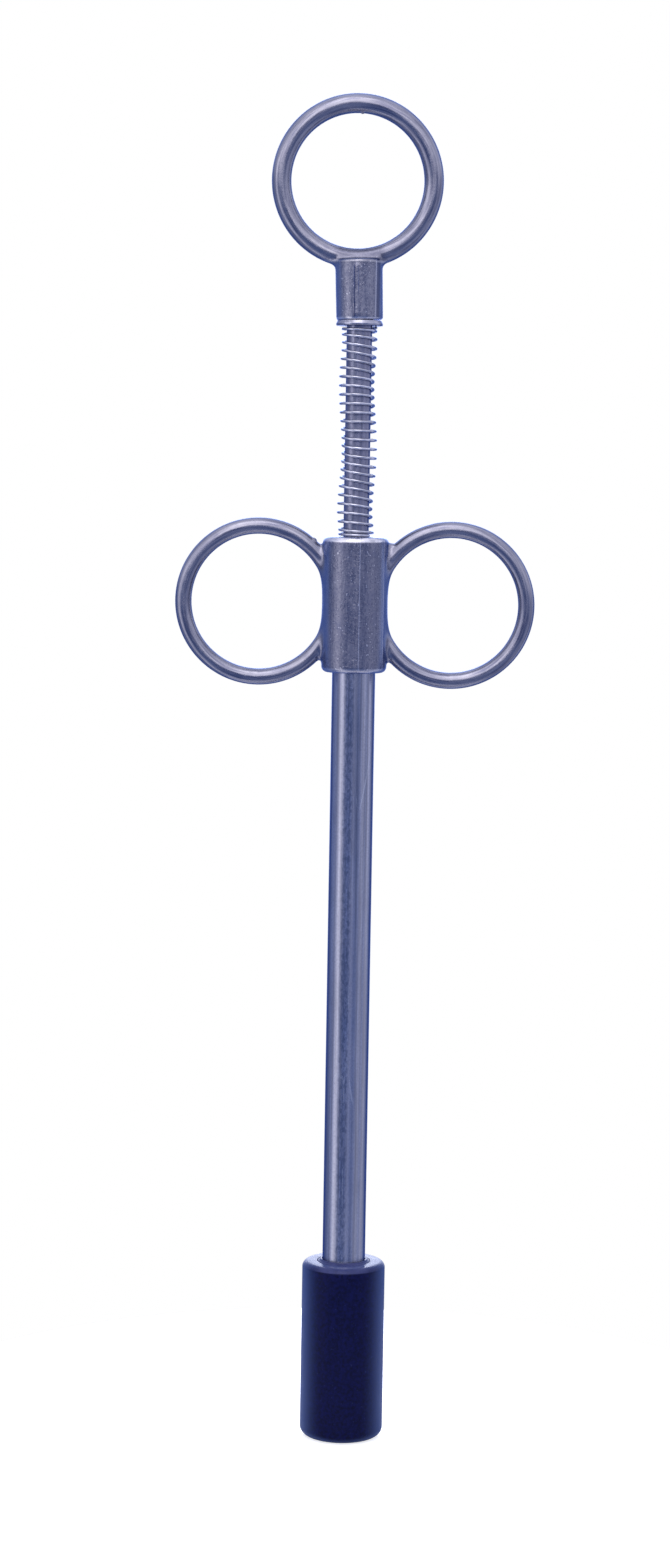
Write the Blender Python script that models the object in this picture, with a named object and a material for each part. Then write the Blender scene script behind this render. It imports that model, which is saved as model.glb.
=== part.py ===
"""Three-ring plunger applicator with a spring return, standing on the mouth of its head.

The thumb ring pushes a rod down a tube, so that the pusher on the rod's end drives out what the
head's chamber holds, and the spring lifts the plunger again. The dimensions below are in
millimetres. +Z runs up the tool's axis from the head's mouth, the rings lie in the XZ plane, and
the set screws are on the +Y side.
"""

import math

import bmesh
import bpy

MM = 0.001

# Driving dimensions
STROKE = 27.0
RUN_GAP = 0.09  # round the rod
SEAT_GAP = 0.3  # between pieces that touch

HEAD_LENGTH = 39.5
HEAD_RADIUS = 9.2
HEAD_TOP_ROUND = 1.4
MOUTH_ROUND = 2.0
CHAMBER_RADIUS = 6.5
CHAMBER_DEPTH = 32.5
NECK_RADIUS = 5.0
NECK_SEAL_RADIUS = 5.65
NECK_SEAL_DEPTH = 0.5
NECK_LIP_HEIGHT = 0.5
FERRULE_RADIUS = 6.6
FERRULE_BOTTOM = 34.2
FERRULE_TOP = 37.8
RETAINING_RING = (6.8, 4.5)  # radius of its centre line, and height
RETAINING_SECTION = 0.8

TUBE_RADIUS = 4.75
TUBE_BORE_RADIUS = 3.85
TUBE_TOP = 189.0
ROD_RADIUS = 2.775
ROD_TAP_RADIUS = 1.5
ROD_TAP_DEPTH = 8.0
ROD_SEAL = (3.35, 44.0)
ROD_SEAL_SECTION = 0.42
LOWER_BUSH_TOP = 43.0
UPPER_BUSH_RADIUS = 3.8
UPPER_BUSH_TOP = 198.6
UPPER_FLANGE_RADIUS = 4.6
UPPER_FLANGE_TOP = 190.5

GRIP_BOTTOM = 170.8
GRIP_TOP = 200.4
GRIP_RADIUS = 7.15
GRIP_ROUND = 1.4
RING_RADIUS = 16.5  # centre line of all three rings
FINGER_RING_X = 21.15
FINGER_RING_Z = 185.9
FINGER_WIRE_RADIUS = 1.8
FINGER_BLEND = (0.8, 30, 52)  # added section radius, and the angles where it starts and has faded
SCREW_HEIGHTS = (184.8, 176.8)

SEAT_WASHER_THICKNESS = 1.1
SEAT_WASHER_BOTTOM = 246.1
SEAT_WASHER_RADIUS = 5.1
SEAT_WASHER_CHAMFER = 0.35
BOSS_RADIUS = 5.07
BOSS_DRAFT = 0.08
BOSS_ROUND = 0.7
BOSS_TOP = 260.0
THUMB_RING_Z = 277.35
THUMB_WIRE_RADIUS = 2.2
THUMB_BLEND = (0.9, 14, 34)
THUMB_RING_LEAN = math.radians(1.7)  # the casting sits a little askew on its rod

PUSHER_RADIUS = 5.6
PUSHER_THICKNESS = 3.2
PUSHER_CHAMFER = 0.5
PUSHER_RECESS_RADIUS = 3.3
PUSHER_RECESS_DEPTH = 2.1
PUSHER_SCREW_RADIUS = 1.3
PUSHER_SCREW_HEAD_RADIUS = 2.6
PUSHER_SCREW_HEAD_HEIGHT = 1.1
LOCK_WASHER_RADIUS = 2.9
LOCK_WASHER_THICKNESS = 0.5

SPRING_TURNS = 25.9
SPRING_MEAN_RADIUS = 3.6
SPRING_WIRE_RADIUS = 0.325
SPRING_FIRST_ANGLE = math.radians(-40)
SPRING_END_PITCH = 0.4  # a closed end turn's rise, as a share of an open turn's
SPRING_SNAKE = 0.35  # how far the loose coils wander off the rod's axis
SPRING_SNAKE_WAVE = 28.3
SPRING_SNAKE_CREST = 219.2

SCREW_RADIUS = 1.5
SCREW_LENGTH = 1.9
SCREW_SOCKET_RADIUS = 0.87
SCREW_SOCKET_DEPTH = 0.9
SCREW_SUNK = 0.25

# Worked out from the driving dimensions
BOSS_BOTTOM = SEAT_WASHER_BOTTOM + SEAT_WASHER_THICKNESS + 0.25
TUBE_BOTTOM = CHAMBER_DEPTH + 1.4
RING_SCREW_HEIGHT = BOSS_BOTTOM + 5.0
PUSHER_BOTTOM = STROKE + 0.5
PUSHER_TOP = PUSHER_BOTTOM + PUSHER_THICKNESS
ROD_BOTTOM = PUSHER_TOP + SEAT_GAP
ROD_TOP = BOSS_BOTTOM + 10.0
BUSH_BORE_RADIUS = ROD_RADIUS + RUN_GAP

ROUND_SIDES = 48
SMALL_SIDES = 32


def material(name, colour, roughness, metallic):
    made = bpy.data.materials.new(name)
    made.use_nodes = True
    shader = made.node_tree.nodes["Principled BSDF"]
    shader.inputs["Base Color"].default_value = (*colour, 1.0)
    shader.inputs["Roughness"].default_value = roughness
    shader.inputs["Metallic"].default_value = metallic
    made.diffuse_color = (*colour, 1.0)
    return made


def frame(name, height):
    """An empty on the tool's axis, which carries the pieces that move together."""
    made = bpy.data.objects.new(name, None)
    bpy.context.scene.collection.objects.link(made)
    made.location.z = height * MM
    return made


def arc(centre, radius, start, end, steps=4):
    """Points of an arc, from start to end in degrees."""
    angles = [math.radians(start + (end - start) * i / steps) for i in range(steps + 1)]
    return [(centre[0] + radius * math.cos(a), centre[1] + radius * math.sin(a)) for a in angles]


def circle(centre, radius, sides):
    """Points round a circle, turned half a step so that none lies on a plane of symmetry."""
    half_step = 180 / sides
    return arc(centre, radius, half_step, 360 + half_step, sides)[:-1]


def annulus(inner, outer, bottom, top):
    return [(inner, bottom), (outer, bottom), (outer, top), (inner, top)]


def rod_profile(radius, bottom, top, chamfer):
    """Half of a solid bar's outline, from the axis and back to it."""
    return [
        (0, bottom),
        (radius - chamfer, bottom),
        (radius, bottom + chamfer),
        (radius, top - chamfer),
        (radius - chamfer, top),
        (0, top),
    ]


def add_object(name, mesh, finish, parent, height):
    """Links an object whose local origin is on the parent's axis, at this height above the mouth."""
    made = bpy.data.objects.new(name, mesh)
    bpy.context.scene.collection.objects.link(made)
    if finish:
        mesh.materials.append(finish)
    made.parent = parent
    bpy.context.view_layer.update()
    made.location.z = height * MM - parent.matrix_world.translation.z
    return made


def turned(name, profile, finish, parent, height=0.0, sides=ROUND_SIDES):
    """A piece turned about Z from (radius, height) points, the heights counted from the mouth."""
    bm = bmesh.new()
    verts = [bm.verts.new((r * MM, 0, (z - height) * MM)) for r, z in profile]
    ends = list(zip(verts, verts[1:]))
    if profile[0][0] > 0:
        ends.append((verts[-1], verts[0]))
    edges = [bm.edges.new(pair) for pair in ends]
    bmesh.ops.spin(
        bm, geom=verts + edges, axis=(0, 0, 1), angle=math.tau, steps=sides, use_merge=True
    )
    bmesh.ops.remove_doubles(bm, verts=bm.verts, dist=1e-7)
    bmesh.ops.recalc_face_normals(bm, faces=bm.faces)
    mesh = bpy.data.meshes.new(name)
    bm.to_mesh(mesh)
    bm.free()
    mesh.shade_smooth()
    mesh.set_sharp_from_angle(angle=math.radians(35))
    return add_object(name, mesh, finish, parent, height)


def boolean(target, tool, operation):
    """Joins a helper to the target or cuts it away. The helper itself is not part of the tool."""
    modifier = target.modifiers.new(tool.name, "BOOLEAN")
    modifier.operation = operation
    modifier.solver = "EXACT"
    modifier.object = tool
    tool.hide_render = True
    tool.display_type = "WIRE"


def ring_helper(name, parent, height, facing, wire_radius, blend, sides):
    """A round ring in the XZ plane, thickened on the side that faces this angle, where it is joined."""
    extra, start, faded = blend
    steps = 44
    bm = bmesh.new()
    rows = []
    for step in range(steps):
        away = 360 * (step + 0.5) / steps
        share = (faded - min(away, 360 - away)) / (faded - start)
        share = min(1.0, max(0.0, share))
        radius = wire_radius + extra * share * share * (3 - 2 * share)
        angle = math.radians(away + facing)
        row = []
        for out, y in circle((RING_RADIUS, 0), radius, sides):
            row.append(bm.verts.new((out * math.cos(angle) * MM, y * MM, out * math.sin(angle) * MM)))
        rows.append(row)
    for step, row in enumerate(rows):
        after = rows[(step + 1) % steps]
        for i in range(sides):
            j = (i + 1) % sides
            bm.faces.new((row[i], row[j], after[j], after[i]))
    bmesh.ops.recalc_face_normals(bm, faces=bm.faces)
    mesh = bpy.data.meshes.new(name)
    bm.to_mesh(mesh)
    bm.free()
    mesh.shade_smooth()
    return add_object(name, mesh, None, parent, height)


def cross_hole(bore, name, height, reach):
    """Adds a set screw's hole to the bore's cutter, from inside it out through the +Y side."""
    radius = SCREW_RADIUS + SEAT_GAP
    tool = turned(name, [(0, 1), (radius, 1), (radius, reach), (0, reach)], None, bore.parent, 0.0, 20)
    tool.rotation_euler = (-math.pi / 2, math.radians(9), 0)
    tool.location.z = height * MM - bore.parent.matrix_world.translation.z
    boolean(bore, tool, "UNION")


def set_screw(name, finish, parent, height, surface):
    """A socket set screw along +Y, sunk just below the casting's surface."""
    profile = rod_profile(SCREW_RADIUS, 0, SCREW_LENGTH, 0.3)
    made = turned(name, profile, finish, parent, 0.0, sides=20)
    made.rotation_euler.x = -math.pi / 2
    start = surface - SCREW_SUNK - SCREW_LENGTH
    made.location = (0, start * MM, height * MM - parent.matrix_world.translation.z)
    depth = SCREW_LENGTH - SCREW_SOCKET_DEPTH
    hexagon = [(0, depth), (SCREW_SOCKET_RADIUS, depth), (SCREW_SOCKET_RADIUS, 3), (0, 3)]
    socket = turned(name + "_socket", hexagon, None, made, 0.0, sides=6)
    socket.location = (0, 0, 0)
    boolean(made, socket, "DIFFERENCE")
    return made


def applicator_head(finish, parent):
    """The moulded cup: chamber, groove for the retaining ring, pocket for the ferrule and neck."""
    radius, height = RETAINING_RING
    around = RETAINING_SECTION + SEAT_GAP
    groove = annulus(CHAMBER_RADIUS, radius + around, height - around, height + around)
    pocket = annulus(
        NECK_RADIUS, FERRULE_RADIUS + SEAT_GAP, FERRULE_BOTTOM - SEAT_GAP, FERRULE_TOP + SEAT_GAP
    )
    seal_seat = HEAD_LENGTH - NECK_SEAL_DEPTH - SEAT_GAP
    mouth = (HEAD_RADIUS - MOUTH_ROUND, MOUTH_ROUND)
    shoulder = (HEAD_RADIUS - HEAD_TOP_ROUND, HEAD_LENGTH - HEAD_TOP_ROUND)
    profile = [
        *arc(mouth, MOUTH_ROUND, 270, 360, 5),
        *arc(shoulder, HEAD_TOP_ROUND, 0, 90),
        (NECK_SEAL_RADIUS + SEAT_GAP, HEAD_LENGTH),
        (NECK_SEAL_RADIUS + SEAT_GAP, seal_seat),
        (NECK_RADIUS, seal_seat),
        *reversed(pocket),
        (NECK_RADIUS, CHAMBER_DEPTH),
        (CHAMBER_RADIUS, CHAMBER_DEPTH),
        *reversed(groove),
        (CHAMBER_RADIUS, 0),
    ]
    return turned("applicator_head", profile, finish, parent)


def head_ferrule(finish, parent):
    """The metal insert that holds the tube, grooved so that the moulding grips it."""
    inner = TUBE_RADIUS + 0.2
    groove = FERRULE_RADIUS - 0.5
    middle = (FERRULE_BOTTOM + FERRULE_TOP) / 2
    profile = [
        (inner, FERRULE_BOTTOM),
        (FERRULE_RADIUS, FERRULE_BOTTOM),
        (FERRULE_RADIUS, middle - 0.6),
        (groove, middle - 0.3),
        (groove, middle + 0.3),
        (FERRULE_RADIUS, middle + 0.6),
        (FERRULE_RADIUS, FERRULE_TOP),
        (inner, FERRULE_TOP),
    ]
    return turned("head_ferrule", profile, finish, parent, sides=SMALL_SIDES)


def neck_seal(finish, parent):
    """The thin rubber lip round the tube where it leaves the head."""
    inner = TUBE_RADIUS + 0.15
    bottom = HEAD_LENGTH - NECK_SEAL_DEPTH
    top = HEAD_LENGTH + NECK_LIP_HEIGHT
    profile = [
        (inner, bottom),
        (NECK_SEAL_RADIUS, bottom),
        (NECK_SEAL_RADIUS, HEAD_LENGTH),
        (inner + 0.35, top - 0.15),
        (inner + 0.2, top),
        (inner, top),
    ]
    return turned("neck_seal", profile, finish, parent)


def barrel_tube(finish, parent):
    profile = annulus(TUBE_BORE_RADIUS, TUBE_RADIUS, TUBE_BOTTOM, TUBE_TOP)
    return turned("barrel_tube", profile, finish, parent, TUBE_BOTTOM)


def lower_guide_bush(finish, parent):
    """A flanged bush in the tube's lower end."""
    bottom = CHAMBER_DEPTH + 0.1
    flange_top = TUBE_BOTTOM - SEAT_GAP
    flange = NECK_RADIUS - SEAT_GAP
    sleeve = TUBE_BORE_RADIUS - 0.2
    profile = [
        (BUSH_BORE_RADIUS, bottom),
        (flange, bottom),
        (flange, flange_top),
        (sleeve, flange_top),
        (sleeve, LOWER_BUSH_TOP),
        (BUSH_BORE_RADIUS, LOWER_BUSH_TOP),
    ]
    return turned("lower_guide_bush", profile, finish, parent, sides=SMALL_SIDES)


def upper_guide_bush(finish, parent):
    """A flanged bush in the finger grip, held by the tube's upper end."""
    profile = [
        (BUSH_BORE_RADIUS, TUBE_TOP + SEAT_GAP),
        (UPPER_FLANGE_RADIUS, TUBE_TOP + SEAT_GAP),
        (UPPER_FLANGE_RADIUS, UPPER_FLANGE_TOP),
        (UPPER_BUSH_RADIUS, UPPER_FLANGE_TOP),
        (UPPER_BUSH_RADIUS, UPPER_BUSH_TOP),
        (BUSH_BORE_RADIUS, UPPER_BUSH_TOP),
    ]
    return turned("upper_guide_bush", profile, finish, parent, sides=SMALL_SIDES)


def finger_grip(finish, parent):
    """The casting with both finger rings, its tube socket, bush seat and set screw holes."""
    bottom = (GRIP_RADIUS - GRIP_ROUND, GRIP_BOTTOM + GRIP_ROUND)
    top = (GRIP_RADIUS - GRIP_ROUND, GRIP_TOP - GRIP_ROUND)
    profile = [
        (0, GRIP_BOTTOM),
        *arc(bottom, GRIP_ROUND, 270, 360),
        *arc(top, GRIP_ROUND, 0, 90),
        (0, GRIP_TOP),
    ]
    grip = turned("finger_grip", profile, finish, parent, GRIP_BOTTOM)
    for name, side, facing in (("right", 1, 180), ("left", -1, 0)):
        ring = ring_helper(
            f"finger_ring_{name}", parent, FINGER_RING_Z, facing, FINGER_WIRE_RADIUS, FINGER_BLEND, 12
        )
        ring.location.x = side * FINGER_RING_X * MM
        boolean(grip, ring, "UNION")
    socket = NECK_RADIUS
    bush = UPPER_BUSH_RADIUS + SEAT_GAP
    exit_hole = ROD_RADIUS + SEAT_GAP
    profile = [
        (0, GRIP_BOTTOM - 1),
        (socket, GRIP_BOTTOM - 1),
        (socket, UPPER_FLANGE_TOP + SEAT_GAP),
        (bush, UPPER_FLANGE_TOP + SEAT_GAP),
        (bush, UPPER_BUSH_TOP + SEAT_GAP),
        (exit_hole, UPPER_BUSH_TOP + SEAT_GAP),
        (exit_hole, GRIP_TOP + 1),
        (0, GRIP_TOP + 1),
    ]
    bore = turned("grip_bore", profile, None, parent, sides=SMALL_SIDES)
    for index, height in enumerate(SCREW_HEIGHTS):
        cross_hole(bore, f"grip_screw_hole_{index}", height, GRIP_RADIUS + 1)
    boolean(grip, bore, "DIFFERENCE")
    return grip


def spring_point(turn, height):
    """A point of the wire's centre line. The coils wander off the axis between their seated ends."""
    angle = SPRING_FIRST_ANGLE - math.tau * turn
    phase = math.tau * (SPRING_SNAKE_CREST - height) / SPRING_SNAKE_WAVE
    along = turn / SPRING_TURNS
    wander = SPRING_SNAKE * max(0.0, math.sin(math.pi * along)) ** 0.6
    x = SPRING_MEAN_RADIUS * math.cos(angle) + wander * math.cos(phase)
    y = SPRING_MEAN_RADIUS * math.sin(angle) + wander * math.sin(phase)
    return (x * MM, y * MM, height * MM)


def return_spring(finish, parent):
    """A left-hand compression spring with one closed turn at each end."""
    steps_per_turn = 15
    steps = round(SPRING_TURNS * steps_per_turn)
    bottom = GRIP_TOP + SPRING_WIRE_RADIUS + SEAT_GAP
    top = SEAT_WASHER_BOTTOM - SPRING_WIRE_RADIUS - SEAT_GAP
    turns = [SPRING_TURNS * i / steps for i in range(steps + 1)]
    heights = [0.0]
    for turn in turns[1:]:
        from_end = min(turn, SPRING_TURNS - turn)
        open_share = min(1.0, max(0.0, from_end - 0.6))
        heights.append(heights[-1] + SPRING_END_PITCH + (1 - SPRING_END_PITCH) * open_share)
    rise = (top - bottom) / heights[-1]
    curve = bpy.data.curves.new("return_spring", "CURVE")
    curve.dimensions = "3D"
    curve.bevel_depth = SPRING_WIRE_RADIUS * MM
    curve.bevel_resolution = 1
    curve.use_fill_caps = True
    spline = curve.splines.new("POLY")
    spline.points.add(steps)
    for point, turn, height in zip(spline.points, turns, heights):
        point.co = (*spring_point(turn, bottom + rise * height), 1.0)
    made = bpy.data.objects.new("return_spring", curve)
    bpy.context.scene.collection.objects.link(made)
    curve.materials.append(finish)
    made.parent = parent
    return made


def thumb_ring(finish, parent):
    """The casting with the thumb ring and its boss, drilled in line with the rod."""
    bottom = (BOSS_RADIUS - BOSS_ROUND, BOSS_BOTTOM + BOSS_ROUND)
    profile = [
        (0, BOSS_BOTTOM),
        *arc(bottom, BOSS_ROUND, 270, 360, 3),
        (BOSS_RADIUS + BOSS_DRAFT, BOSS_TOP),
        (0, BOSS_TOP),
    ]
    casting = turned("thumb_ring", profile, finish, parent, BOSS_BOTTOM)
    casting.rotation_euler.y = -THUMB_RING_LEAN
    ring = ring_helper(
        "thumb_ring_wire", casting, THUMB_RING_Z, 270, THUMB_WIRE_RADIUS, THUMB_BLEND, 14
    )
    boolean(casting, ring, "UNION")
    radius = ROD_RADIUS + 0.2
    top = ROD_TOP + SEAT_GAP
    profile = [(0, BOSS_BOTTOM - 1), (radius, BOSS_BOTTOM - 1), (radius, top), (0, top)]
    bore = turned("thumb_ring_bore", profile, None, parent, sides=SMALL_SIDES)
    cross_hole(bore, "thumb_ring_screw_hole", RING_SCREW_HEIGHT, BOSS_RADIUS + 1)
    boolean(casting, bore, "DIFFERENCE")
    return casting


def plunger_rod(finish, parent):
    """The rod, drilled up its lower end for the pusher's screw."""
    tap_end = ROD_BOTTOM + ROD_TAP_DEPTH
    profile = [
        (0, tap_end + 0.9),
        (ROD_TAP_RADIUS, tap_end),
        (ROD_TAP_RADIUS, ROD_BOTTOM),
        *rod_profile(ROD_RADIUS, ROD_BOTTOM, ROD_TOP, 0.4)[1:],
    ]
    return turned("plunger_rod", profile, finish, parent, ROD_BOTTOM, SMALL_SIDES)


def pusher(finish, parent):
    """The disc that drives the load out, counterbored for its screw and lock washer."""
    hole = PUSHER_SCREW_RADIUS + SEAT_GAP
    recess_top = PUSHER_BOTTOM + PUSHER_RECESS_DEPTH
    profile = [
        (PUSHER_RECESS_RADIUS, PUSHER_BOTTOM),
        *rod_profile(PUSHER_RADIUS, PUSHER_BOTTOM, PUSHER_TOP, PUSHER_CHAMFER)[1:-1],
        (hole, PUSHER_TOP),
        (hole, recess_top),
        (PUSHER_RECESS_RADIUS, recess_top),
    ]
    return turned("pusher", profile, finish, parent, PUSHER_BOTTOM, sides=SMALL_SIDES)


def pusher_screw(finish, parent):
    """A pan head screw with a driver slot, sunk in the pusher."""
    head_bottom = PUSHER_BOTTOM + 0.1
    head_top = head_bottom + PUSHER_SCREW_HEAD_HEIGHT
    end = ROD_BOTTOM + ROD_TAP_DEPTH - 0.5
    profile = [
        (0, head_bottom),
        (PUSHER_SCREW_HEAD_RADIUS - 0.6, head_bottom),
        (PUSHER_SCREW_HEAD_RADIUS, head_bottom + 0.5),
        (PUSHER_SCREW_HEAD_RADIUS, head_top),
        (PUSHER_SCREW_RADIUS, head_top),
        (PUSHER_SCREW_RADIUS, end),
        (0, end),
    ]
    screw = turned("pusher_screw", profile, finish, parent, PUSHER_BOTTOM, sides=20)
    slot_mesh = bpy.data.meshes.new("pusher_screw_slot")
    bm = bmesh.new()
    bmesh.ops.create_cube(bm, size=1.0)
    bmesh.ops.scale(bm, vec=(6 * MM, 0.7 * MM, 1.2 * MM), verts=bm.verts)
    bm.to_mesh(slot_mesh)
    bm.free()
    slot = add_object("pusher_screw_slot", slot_mesh, None, parent, head_bottom)
    boolean(screw, slot, "DIFFERENCE")
    return screw


def pusher_lock_washer(finish, parent):
    bottom = PUSHER_BOTTOM + PUSHER_SCREW_HEAD_HEIGHT + SEAT_GAP
    hole = PUSHER_SCREW_RADIUS + SEAT_GAP
    profile = annulus(hole, LOCK_WASHER_RADIUS, bottom, bottom + LOCK_WASHER_THICKNESS)
    return turned("pusher_lock_washer", profile, finish, parent, PUSHER_BOTTOM, 24)


def spring_seat_washer(finish, parent):
    """The washer that the spring pushes up against the boss, and that the rod turns in."""
    top = SEAT_WASHER_BOTTOM + SEAT_WASHER_THICKNESS
    outline = rod_profile(SEAT_WASHER_RADIUS, SEAT_WASHER_BOTTOM, top, SEAT_WASHER_CHAMFER)
    profile = [(BUSH_BORE_RADIUS, SEAT_WASHER_BOTTOM), *outline[1:-1], (BUSH_BORE_RADIUS, top)]
    return turned("spring_seat_washer", profile, finish, parent, SEAT_WASHER_BOTTOM, SMALL_SIDES)


def rubber_ring(name, centre_line, section, finish, parent):
    """An O-ring, from its centre line's (radius, height)."""
    profile = circle(centre_line, section, 8)
    return turned(name, profile, finish, parent, centre_line[1], SMALL_SIDES)


def build():
    for leftover in list(bpy.data.objects):
        bpy.data.objects.remove(leftover)

    cast_metal = material("cast_metal", (0.33, 0.34, 0.45), 0.42, 1.0)
    steel = material("bright_steel", (0.42, 0.45, 0.56), 0.25, 1.0)
    spring_wire = material("spring_wire", (0.50, 0.51, 0.62), 0.22, 1.0)
    head_moulding = material("head_moulding", (0.012, 0.016, 0.06), 0.5, 0.0)
    seal_rubber = material("seal_rubber", (0.02, 0.02, 0.025), 0.7, 0.0)
    bush_plastic = material("bush_plastic", (0.75, 0.74, 0.68), 0.45, 0.0)
    brass = material("brass", (0.6, 0.44, 0.18), 0.35, 1.0)
    screw_steel = material("screw_steel", (0.08, 0.08, 0.09), 0.4, 1.0)

    barrel = frame("barrel_frame", 0.0)
    applicator_head(head_moulding, barrel)
    head_ferrule(brass, barrel)
    rubber_ring("retaining_ring", RETAINING_RING, RETAINING_SECTION, seal_rubber, barrel)
    neck_seal(seal_rubber, barrel)
    barrel_tube(steel, barrel)
    lower_guide_bush(bush_plastic, barrel)
    rubber_ring("rod_seal", ROD_SEAL, ROD_SEAL_SECTION, seal_rubber, barrel)
    finger_grip(cast_metal, barrel)
    upper_guide_bush(bush_plastic, barrel)
    for name, height in zip(("upper", "lower"), SCREW_HEIGHTS):
        set_screw(f"grip_set_screw_{name}", screw_steel, barrel, height, GRIP_RADIUS)
    return_spring(spring_wire, barrel)

    seat = frame("spring_seat_frame", SEAT_WASHER_BOTTOM)
    spring_seat_washer(steel, seat)

    plunger = frame("plunger_frame", BOSS_BOTTOM)
    plunger_rod(steel, plunger)
    thumb_ring(cast_metal, plunger)
    set_screw("ring_set_screw", screw_steel, plunger, RING_SCREW_HEIGHT, BOSS_RADIUS)
    bumper = annulus(BUSH_BORE_RADIUS, PUSHER_RADIUS, ROD_BOTTOM, CHAMBER_DEPTH - SEAT_GAP)
    turned("stop_bumper", bumper, seal_rubber, plunger, ROD_BOTTOM, SMALL_SIDES)
    pusher(bush_plastic, plunger)
    pusher_lock_washer(spring_wire, plunger)
    pusher_screw(screw_steel, plunger)


build()
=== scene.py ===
"""Looks for the three-ring plunger applicator: fine castings, turned pieces, spring and studio."""

import math

import bpy
import numpy as np
from mathutils import Matrix, Vector

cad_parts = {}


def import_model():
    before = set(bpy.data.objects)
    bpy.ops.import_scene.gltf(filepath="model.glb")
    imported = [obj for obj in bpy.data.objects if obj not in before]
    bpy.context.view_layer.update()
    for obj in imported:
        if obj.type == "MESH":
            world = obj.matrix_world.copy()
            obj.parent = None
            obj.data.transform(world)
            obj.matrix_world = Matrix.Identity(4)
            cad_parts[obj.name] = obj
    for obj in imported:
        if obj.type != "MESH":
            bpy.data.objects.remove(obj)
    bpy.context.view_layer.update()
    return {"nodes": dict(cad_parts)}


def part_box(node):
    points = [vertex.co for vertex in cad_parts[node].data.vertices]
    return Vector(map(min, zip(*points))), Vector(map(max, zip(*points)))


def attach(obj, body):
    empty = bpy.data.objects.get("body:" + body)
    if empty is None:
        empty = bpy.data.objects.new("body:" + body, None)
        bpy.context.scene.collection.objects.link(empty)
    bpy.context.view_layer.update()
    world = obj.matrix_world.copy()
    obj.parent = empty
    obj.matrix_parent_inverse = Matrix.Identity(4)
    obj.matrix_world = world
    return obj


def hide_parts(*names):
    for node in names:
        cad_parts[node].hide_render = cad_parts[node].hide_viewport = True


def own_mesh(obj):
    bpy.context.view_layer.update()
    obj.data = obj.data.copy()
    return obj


MM = 0.001
TAU = math.tau

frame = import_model()


def span(node):
    """A CAD node's box in millimetres, as low and high arrays."""
    low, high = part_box(node)
    return np.array(low) / MM, np.array(high) / MM


# ---------------------------------------------------------------- sizes, in millimetres
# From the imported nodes
HEAD_HIGH = span("applicator_head")[1]
TUBE_LOW, TUBE_HIGH = span("barrel_tube")
GRIP_LOW, GRIP_HIGH = span("finger_grip")
ROD_LOW, ROD_HIGH = span("plunger_rod")
WASHER_LOW, WASHER_HIGH = span("spring_seat_washer")
THUMB_LOW, THUMB_HIGH = span("thumb_ring")
PUSHER_LOW, PUSHER_HIGH = span("pusher")
LIP_LOW, LIP_HIGH = span("neck_seal")

HEAD_RADIUS = HEAD_HIGH[0]
HEAD_TOP = HEAD_HIGH[2]
HEAD_SHOULDER = 1.4
LIP_RADIUS = 5.88
TUBE_RADIUS = TUBE_HIGH[0]
TUBE_BORE = 3.85
ROD_RADIUS = ROD_HIGH[0]
ROD_GAP = 0.09

# The rings of both castings have this mean radius
RING_RADIUS = 16.5

GRIP_RADIUS = GRIP_HIGH[1]
GRIP_BOTTOM, GRIP_TOP = 170.8, 200.4
# The grip's three holes, from below: the tube's, the upper bush's and the rod's
GRIP_TUBE_SOCKET, GRIP_TUBE_END = 5.0, 190.8
GRIP_BUSH_SOCKET, GRIP_BUSH_END = 4.1, 198.9
GRIP_ROD_HOLE = 3.08
# A nub and a small web beside the body, each as its centre and radius
GRIP_NUB = ((-9.16, -0.5, 199.46), 0.62)
GRIP_WEB = ((7.6, 0, 197.6), 1.5)
GRIP_WEB_Y, GRIP_WEB_HALF_WIDTH = -0.6, 0.5
FINGER_WIRE = 1.8
# A ring's mesh ends about this much inside the true ring, so its centre stands further out
MESH_SHORT = 0.003
FINGER_X = GRIP_HIGH[0] - RING_RADIUS - FINGER_WIRE + MESH_SHORT
FINGER_Z = (GRIP_LOW[2] + GRIP_HIGH[2]) / 2
# One finger ring sits this much higher than the middle, and the other as much lower
FINGER_SKEW = 0.13

BOSS_BOTTOM = THUMB_LOW[2] + 0.02
BOSS_TOP = 260.3
BOSS_RADIUS = 5.07
BOSS_FLARE = 0.08
BOSS_FLARE_HEIGHT = 12.5
BOSS_BORE_END = 257.8
THUMB_WIRE = 2.13
THUMB_Z = BOSS_BOTTOM + 29.9
# The thumb ring's mean radius is this much more along its height
THUMB_TALL = 0.09
THUMB_LEAN = math.radians(1.7)
THUMB_NUB = ((1.2, -0.5, THUMB_Z + 14.5), 0.36)
RIB_X, RIB_HALF_WIDTH = -0.62, 0.28
RIB_Z, RIB_HALF_HEIGHT = 253.6, 5.3
RIB_OUT, RIB_ROUND = 0.2, 0.2

SCREW_RADIUS, SCREW_LENGTH, SCREW_DEPTH = 1.48, 1.9, 0.25
SCREW_KEY = 1.5
SCREW_SOCKET_FLOOR = 1.0
SCREW_HOLE = 1.8
GRIP_SCREWS = {"grip_set_screw_upper": 184.8, "grip_set_screw_lower": 176.8}
BOSS_SCREW = BOSS_BOTTOM + 5.0


# ---------------------------------------------------------------- mesh building
def new_piece(name, points, faces, body, finish, replaces):
    """A smooth mesh from points in millimetres, riding on a CAD body in place of CAD nodes."""
    mesh = bpy.data.meshes.new(name)
    mesh.from_pydata((np.asarray(points, float) * MM).tolist(), [], faces)
    mesh.validate()
    mesh.shade_smooth()
    mesh.set_sharp_from_angle(angle=math.radians(38))
    mesh.materials.append(finish)
    piece = bpy.data.objects.new(name, mesh)
    bpy.context.scene.collection.objects.link(piece)
    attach(piece, body)
    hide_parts(*replaces)
    return piece


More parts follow.
